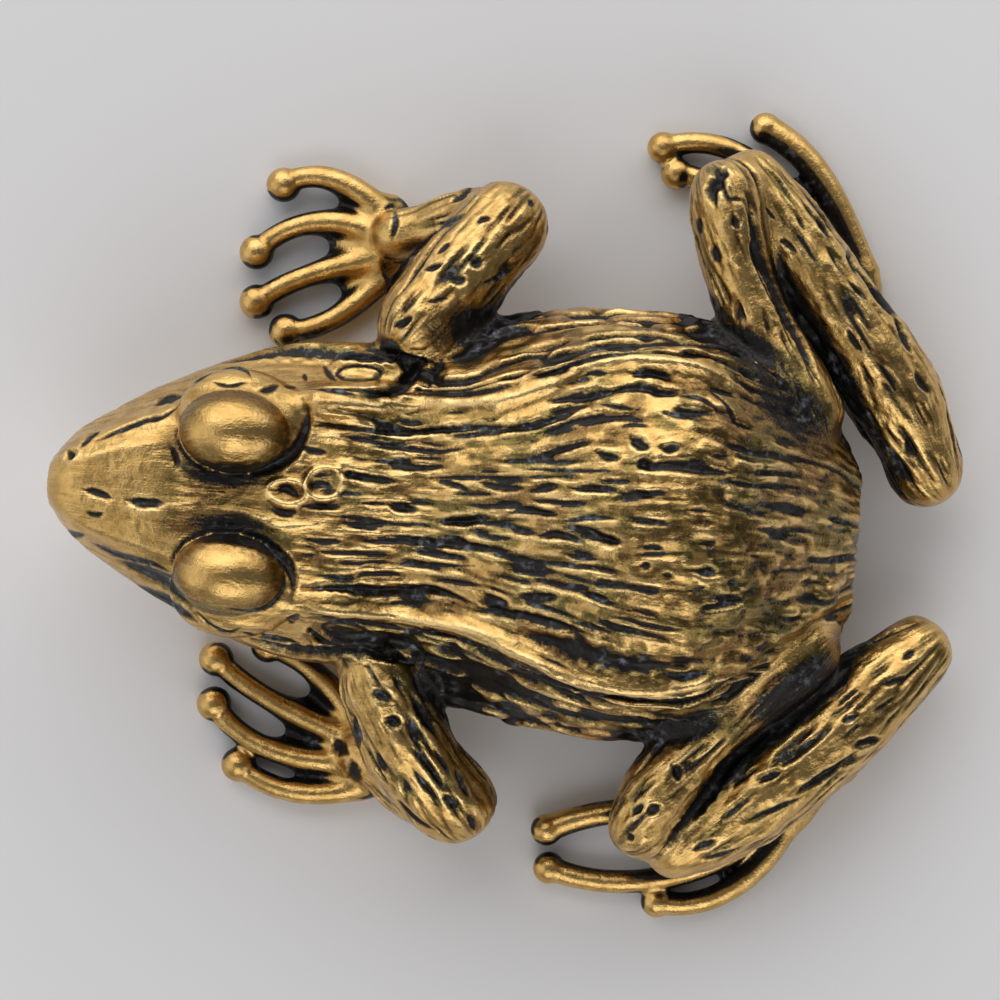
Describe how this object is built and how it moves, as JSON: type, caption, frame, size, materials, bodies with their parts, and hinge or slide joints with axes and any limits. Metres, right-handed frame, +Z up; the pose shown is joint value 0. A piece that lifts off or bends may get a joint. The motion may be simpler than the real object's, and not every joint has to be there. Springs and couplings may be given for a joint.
{
  "type": "frog figurine",
  "caption": "Small solid cast brass frog figurine with an antiqued finish, sitting flat with splayed webbed feet.",
  "frame": {"origin": "centre of the bounding box in plan, at the height of the surface the frog rests on", "axes": "+Z up, the head points to -X, the frog's right side is +Y"},
  "size_m": [0.04, 0.0358, 0.0136],
  "materials": {
    "antiqued_brass": "antiqued"
  },
  "bodies": {
    "root": {"torso": "antiqued_brass", "head": "antiqued_brass", "lower_jaw": "antiqued_brass", "right_eye": "antiqued_brass", "left_eye": "antiqued_brass", "right_back_ridge": "antiqued_brass", "right_eardrum": "antiqued_brass", "right_upper_arm": "antiqued_brass", "right_forearm": "antiqued_brass", "right_hand": "antiqued_brass", "right_finger_1": "antiqued_brass", "right_finger_2": "antiqued_brass", "right_finger_3": "antiqued_brass", "right_finger_4": "antiqued_brass", "right_hand_web": "antiqued_brass", "right_thigh": "antiqued_brass", "right_shin": "antiqued_brass", "right_foot": "antiqued_brass", "right_toe_1": "antiqued_brass", "right_toe_2": "antiqued_brass", "right_toe_3": "antiqued_brass", "right_foot_web": "antiqued_brass", "left_back_ridge": "antiqued_brass", "left_eardrum": "antiqued_brass", "left_upper_arm": "antiqued_brass", "left_forearm": "antiqued_brass", "left_hand": "antiqued_brass", "left_finger_1": "antiqued_brass", "left_finger_2": "antiqued_brass", "left_finger_3": "antiqued_brass", "left_finger_4": "antiqued_brass", "left_hand_web": "antiqued_brass", "left_thigh": "antiqued_brass", "left_shin": "antiqued_brass", "left_foot": "antiqued_brass", "left_toe_1": "antiqued_brass", "left_toe_2": "antiqued_brass", "left_toe_3": "antiqued_brass", "left_foot_web": "antiqued_brass"}
  },
  "joints": []
}
